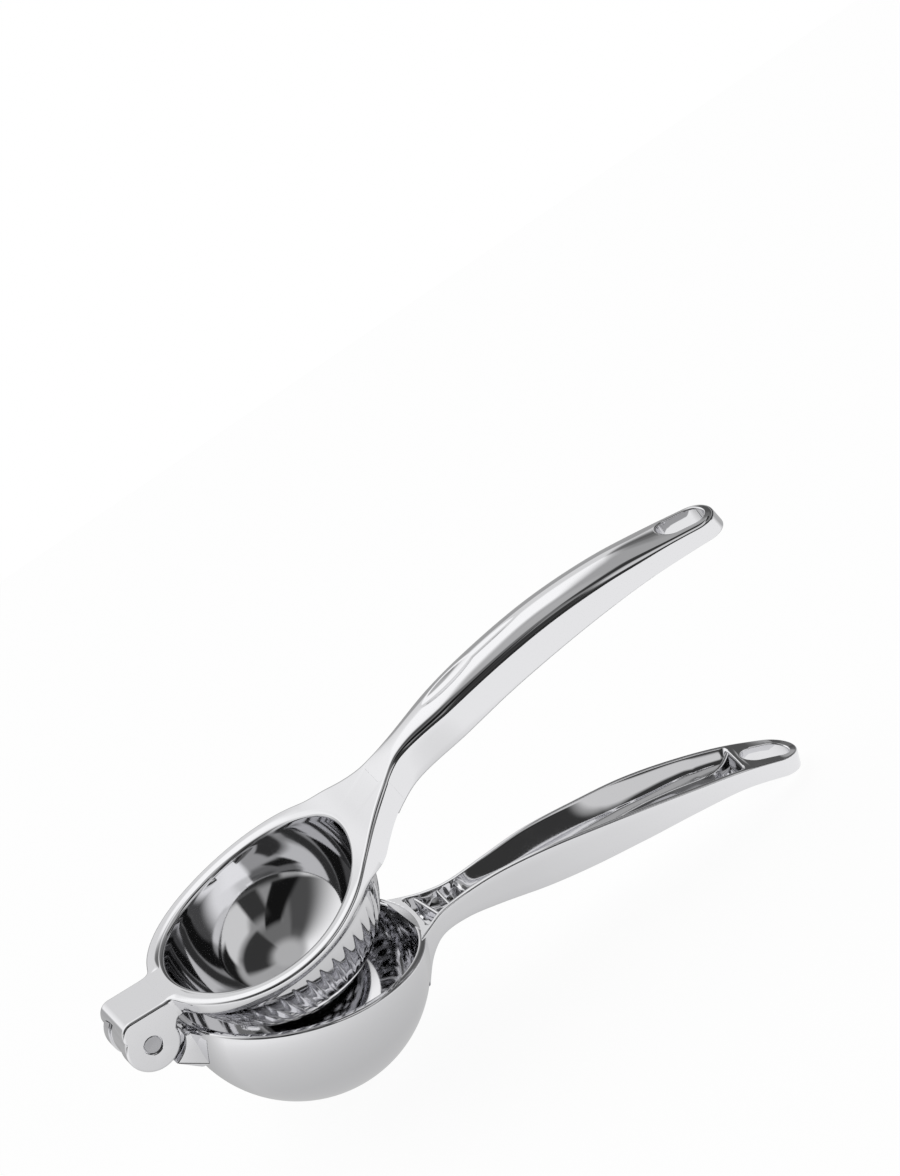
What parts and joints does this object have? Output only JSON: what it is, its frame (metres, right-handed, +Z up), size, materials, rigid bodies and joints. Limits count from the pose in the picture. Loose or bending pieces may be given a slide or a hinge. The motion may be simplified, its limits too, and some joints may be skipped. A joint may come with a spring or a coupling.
{
  "type": "hinged lemon squeezer",
  "caption": "Cast lemon squeezer: a reeded press cup on one lever closes into a drained bowl on the other about a cross pin.",
  "frame": {"origin": "on the surface the tool stands on, half-way between the back of the ears and the end of the upper handle", "axes": "+X from the hinge to the handle ends, +Y along the hinge pin, +Z up with the bowl standing on its round bottom and the lower handle on its tip"},
  "size_m": [0.2026, 0.068, 0.0847],
  "materials": {
    "chrome_plate": "polished chrome plate on a zinc casting",
    "steel_pin": "ground stainless steel, dull ends"
  },
  "bodies": {
    "bowl_side": {"bowl_lever": "chrome_plate"},
    "press_side": {"press_lever": "chrome_plate", "hinge_pin": "steel_pin"}
  },
  "joints": [
    {"name": "press_hinge", "type": "hinge", "parent": "bowl_side", "child": "press_side", "pos_m": [-0.09366, 0, 0.04392], "axis": [0, -1, 0], "range_deg": [-18.6, 97.4]}
  ]
}
